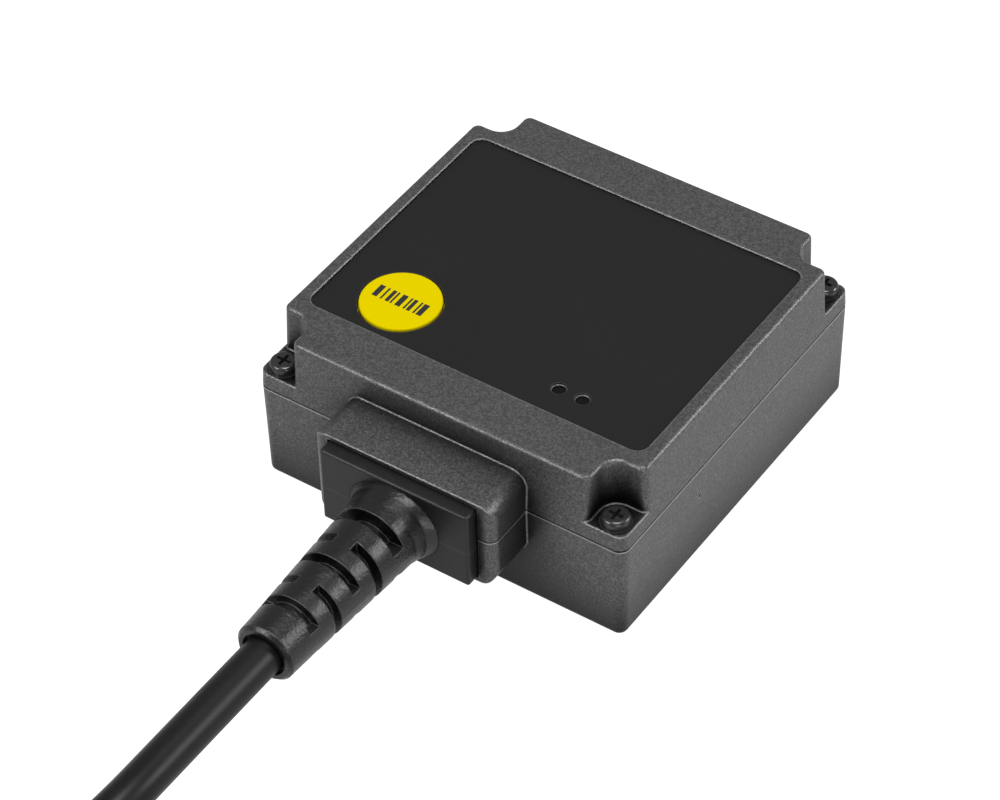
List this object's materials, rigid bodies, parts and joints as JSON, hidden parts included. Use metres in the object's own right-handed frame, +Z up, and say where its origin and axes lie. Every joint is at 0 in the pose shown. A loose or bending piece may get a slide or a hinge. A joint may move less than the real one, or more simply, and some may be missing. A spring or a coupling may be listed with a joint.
{
  "type": "scanner module",
  "caption": "Compact fixed-mount scanner module: two-part square housing, press key, scan window, captive cable with slotted strain relief.",
  "frame": {"origin": "centre of the housing's flat underside", "axes": "+Z up out of the lid with the key, -Y along the cable as it leaves, +Y out of the scan window, +X to the right seen from the cable side"},
  "size_m": [0.1019, 0.1979, 0.0268],
  "materials": {
    "housing": "fine spark-eroded texture",
    "overlay": "satin film",
    "key_yellow": "satin moulded",
    "overmould": "fine grain",
    "cable_jacket": "semi-gloss jacket",
    "black_steel": "black zinc",
    "bright_steel": "nickel plated",
    "brass": "knurled",
    "silicone": "matt",
    "clear": "polished",
    "smoked": "polished, dark red tint",
    "board": "solder resist",
    "chip": "moulded epoxy",
    "ceramic": "sintered",
    "cast_metal": "as cast",
    "mirror": "first surface",
    "copper": "enamelled winding wire",
    "natural_nylon": "moulded",
    "lead_insulation": "extruded",
    "strap": "hook and loop"
  },
  "bodies": {
    "housing": {"lower_shell": "housing", "upper_shell": "housing", "housing_seal": "silicone", "screw_seats": "black_steel", "cover_screws": "black_steel", "mounting_inserts": "brass", "overlay_panel": "overlay", "key_switch": "chip", "light_pipes": "clear", "indicator_lamps": "natural_nylon", "main_board": "board", "main_board_screws": "bright_steel", "main_board_chips": "chip", "main_board_capacitors": "ceramic", "beeper": "chip", "io_board": "board", "io_board_screws": "bright_steel", "power_inductor": "ceramic", "interface_chip": "chip", "board_link": "natural_nylon", "cable_header": "natural_nylon", "crimp_plug": "natural_nylon", "cable_leads": "lead_insulation", "outlet_block": "overmould", "strain_relief": "overmould", "cable": "cable_jacket", "cable_tail": "cable_jacket", "cable_coil": "cable_jacket", "coil_tie": "strap", "far_plug": "overmould", "far_shell": "bright_steel", "far_tongue": "chip", "window_gasket": "silicone", "scan_window": "smoked", "engine_frame": "cast_metal", "engine_screws": "bright_steel", "laser_barrel": "brass", "laser_diode": "bright_steel", "collimator_lens": "clear", "laser_board": "board", "mirror_shaft": "bright_steel", "drive_coil": "copper", "coil_core": "bright_steel", "receiver_barrel": "chip", "receiver_lens": "smoked", "receiver_board": "board", "photodiode": "chip"},
    "key": {"scan_button": "key_yellow", "switch_plunger": "chip"},
    "oscillator": {"scan_mirror": "mirror", "mirror_holder": "chip", "mirror_magnet": "bright_steel"}
  },
  "joints": [
    {"name": "key_press", "type": "slide", "parent": "housing", "child": "key", "axis": [0, 0, -1], "range_m": [0, 0.0004], "stiffness_N_per_m": 4000, "springref_m": -0.0002},
    {"name": "mirror_swing", "type": "hinge", "parent": "housing", "child": "oscillator", "pos_m": [0.0026, 0.0139, 0.0108], "axis": [0, 0, 1], "range_deg": [-10, 10], "stiffness_Nm_per_rad": 0.002}
  ]
}
